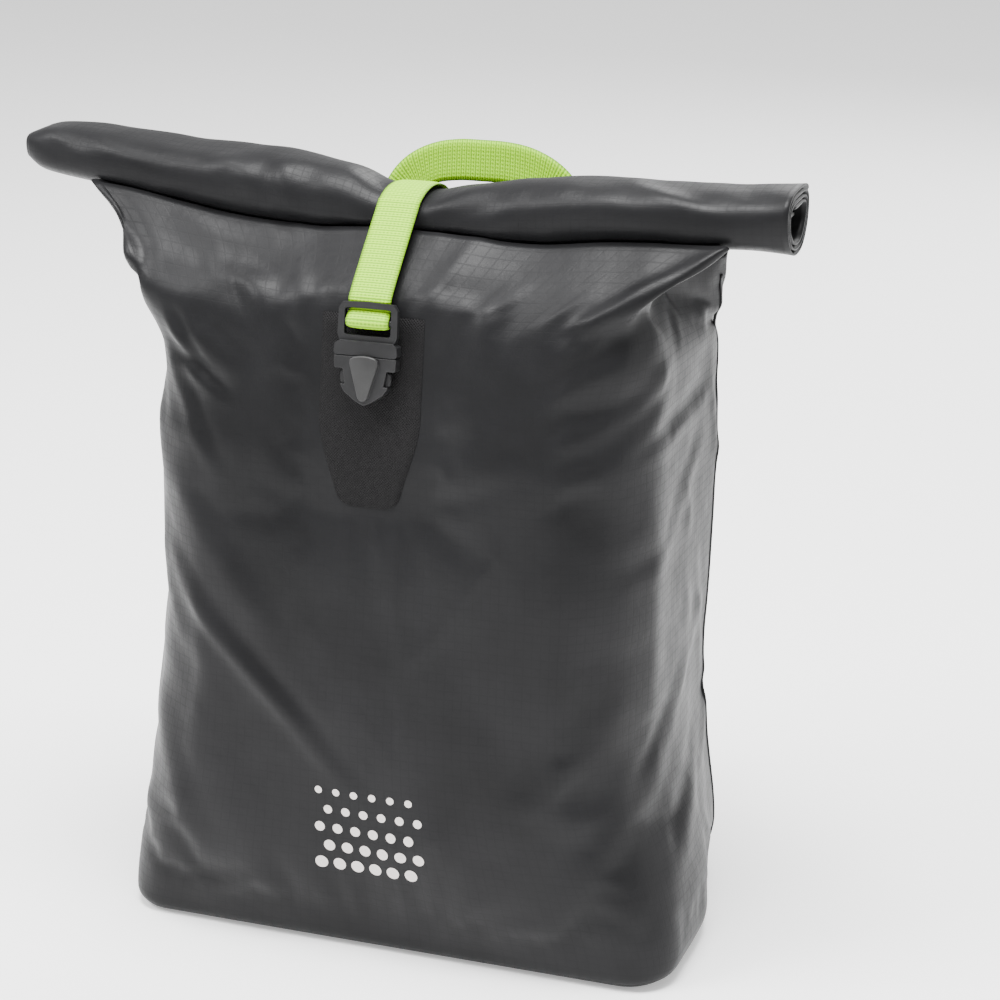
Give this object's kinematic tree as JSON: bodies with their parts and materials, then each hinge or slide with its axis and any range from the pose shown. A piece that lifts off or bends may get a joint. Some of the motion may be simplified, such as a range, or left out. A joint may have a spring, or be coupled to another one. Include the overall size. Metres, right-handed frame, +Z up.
{
  "type": "roll-top pannier bag",
  "caption": "Roll-top bicycle pannier bag with a buckled closure strap, carry handle, D-rings, sliding rack hooks with latches and a swivelling lower anchor.",
  "frame": {"origin": "middle of the base, on the face that the bag stands on", "axes": "+X along the roll and the width, +Y towards the luggage rack, +Z up"},
  "size_m": [0.47, 0.2319, 0.4547],
  "materials": {
    "bag_fabric": "satin",
    "patch_fabric": "matte",
    "webbing": "matte",
    "buckle_plastic": "satin",
    "hook_plastic": "satin",
    "hook_liner": "matte",
    "board_plastic": "satin",
    "rail_aluminium": "satin",
    "steel": "satin"
  },
  "bodies": {
    "bag": {"back_panel": "bag_fabric", "backing_plate_left": "steel", "backing_plate_right": "steel", "base_panel": "bag_fabric", "buckle_female": "buckle_plastic", "buckle_tab": "webbing", "closure_strap": "webbing", "d_ring_tab_left": "webbing", "d_ring_tab_right": "webbing", "front_patch": "patch_fabric", "handle_anchor_left": "webbing", "handle_anchor_right": "webbing", "lower_backing_plate": "steel", "lower_rail": "rail_aluminium", "lower_rail_screw_left": "steel", "lower_rail_screw_right": "steel", "main_panel": "bag_fabric", "mouth_stiffener": "board_plastic", "rail_end_left": "hook_plastic", "rail_end_right": "hook_plastic", "rail_screw_left_lower": "steel", "rail_screw_left_upper": "steel", "rail_screw_right_lower": "steel", "rail_screw_right_upper": "steel", "roll_top": "bag_fabric", "seam_left": "bag_fabric", "seam_right": "bag_fabric", "stiffener_board": "board_plastic", "strap_patch": "patch_fabric", "top_rail": "rail_aluminium"},
    "buckle_male": {"buckle_male": "buckle_plastic"},
    "prong_left": {"buckle_prong_left": "buckle_plastic"},
    "prong_right": {"buckle_prong_right": "buckle_plastic"},
    "d_ring_left": {"d_ring_left": "buckle_plastic"},
    "d_ring_right": {"d_ring_right": "buckle_plastic"},
    "handle": {"carry_handle": "webbing"},
    "hook_left": {"hook_body_left": "hook_plastic", "hook_insert_left": "hook_liner", "latch_pin_left": "steel", "clamp_screw_left": "steel"},
    "latch_left": {"hook_latch_left": "hook_plastic"},
    "hook_right": {"hook_body_right": "hook_plastic", "hook_insert_right": "hook_liner", "latch_pin_right": "steel", "clamp_screw_right": "steel"},
    "latch_right": {"hook_latch_right": "hook_plastic"},
    "anchor_slider": {"anchor_slider": "hook_plastic"},
    "anchor_hook": {"anchor_hook": "hook_plastic"},
    "anchor_knob": {"anchor_knob": "hook_plastic"}
  },
  "joints": [
    {"name": "buckle_slide", "type": "slide", "parent": "bag", "child": "buckle_male", "axis": [0, 0.1504, 0.9886], "range_m": [0, 0.028], "deforming": ["closure_strap"]},
    {"name": "prong_left_flex", "type": "hinge", "parent": "buckle_male", "child": "prong_left", "pos_m": [-0.01, -0.09089, 0.36037], "axis": [0, -0.9886, 0.1504], "range_deg": [0, 13.33]},
    {"name": "prong_right_flex", "type": "hinge", "parent": "buckle_male", "child": "prong_right", "pos_m": [0.01, -0.09089, 0.36037], "axis": [0, 0.9886, -0.1504], "range_deg": [0, 13.33]},
    {"name": "d_ring_left_swing", "type": "hinge", "parent": "bag", "child": "d_ring_left", "pos_m": [-0.096, 0.06702, 0.37963], "axis": [-1, 0, 0], "range_deg": [0, 150]},
    {"name": "d_ring_right_swing", "type": "hinge", "parent": "bag", "child": "d_ring_right", "pos_m": [0.096, 0.06702, 0.37963], "axis": [-1, 0, 0], "range_deg": [0, 150]},
    {"name": "handle_swing", "type": "hinge", "parent": "bag", "child": "handle", "pos_m": [0, 0.0965, 0.34], "axis": [1, 0, 0], "range_deg": [-68, 25]},
    {"name": "hook_left_slide", "type": "slide", "parent": "bag", "child": "hook_left", "axis": [1, 0, 0], "range_m": [-0.01, 0.02]},
    {"name": "latch_left_turn", "type": "hinge", "parent": "hook_left", "child": "latch_left", "pos_m": [-0.062, 0.113, 0.301], "axis": [-1, 0, 0], "range_deg": [0, 60], "stiffness_Nm_per_rad": 0.03, "springref_deg": -20.05},
    {"name": "hook_right_slide", "type": "slide", "parent": "bag", "child": "hook_right", "axis": [1, 0, 0], "range_m": [-0.02, 0.01]},
    {"name": "latch_right_turn", "type": "hinge", "parent": "hook_right", "child": "latch_right", "pos_m": [0.062, 0.113, 0.301], "axis": [-1, 0, 0], "range_deg": [0, 60], "stiffness_Nm_per_rad": 0.03, "springref_deg": -20.05},
    {"name": "anchor_slide", "type": "slide", "parent": "bag", "child": "anchor_slider", "axis": [1, 0, 0], "range_m": [-0.05, 0.05]},
    {"name": "anchor_swivel", "type": "hinge", "parent": "anchor_slider", "child": "anchor_hook", "pos_m": [0, 0.109, 0.112], "axis": [0, 1, 0], "range_deg": [-90, 90]},
    {"name": "anchor_knob_turn", "type": "hinge", "parent": "anchor_slider", "child": "anchor_knob", "pos_m": [0, 0.109, 0.112], "axis": [0, 1, 0], "continuous": true}
  ],
  "couplings": [
    {"joint": "prong_left_flex", "follows": "buckle_slide", "rad_per_m": 8},
    {"joint": "prong_right_flex", "follows": "buckle_slide", "rad_per_m": 8}
  ]
}
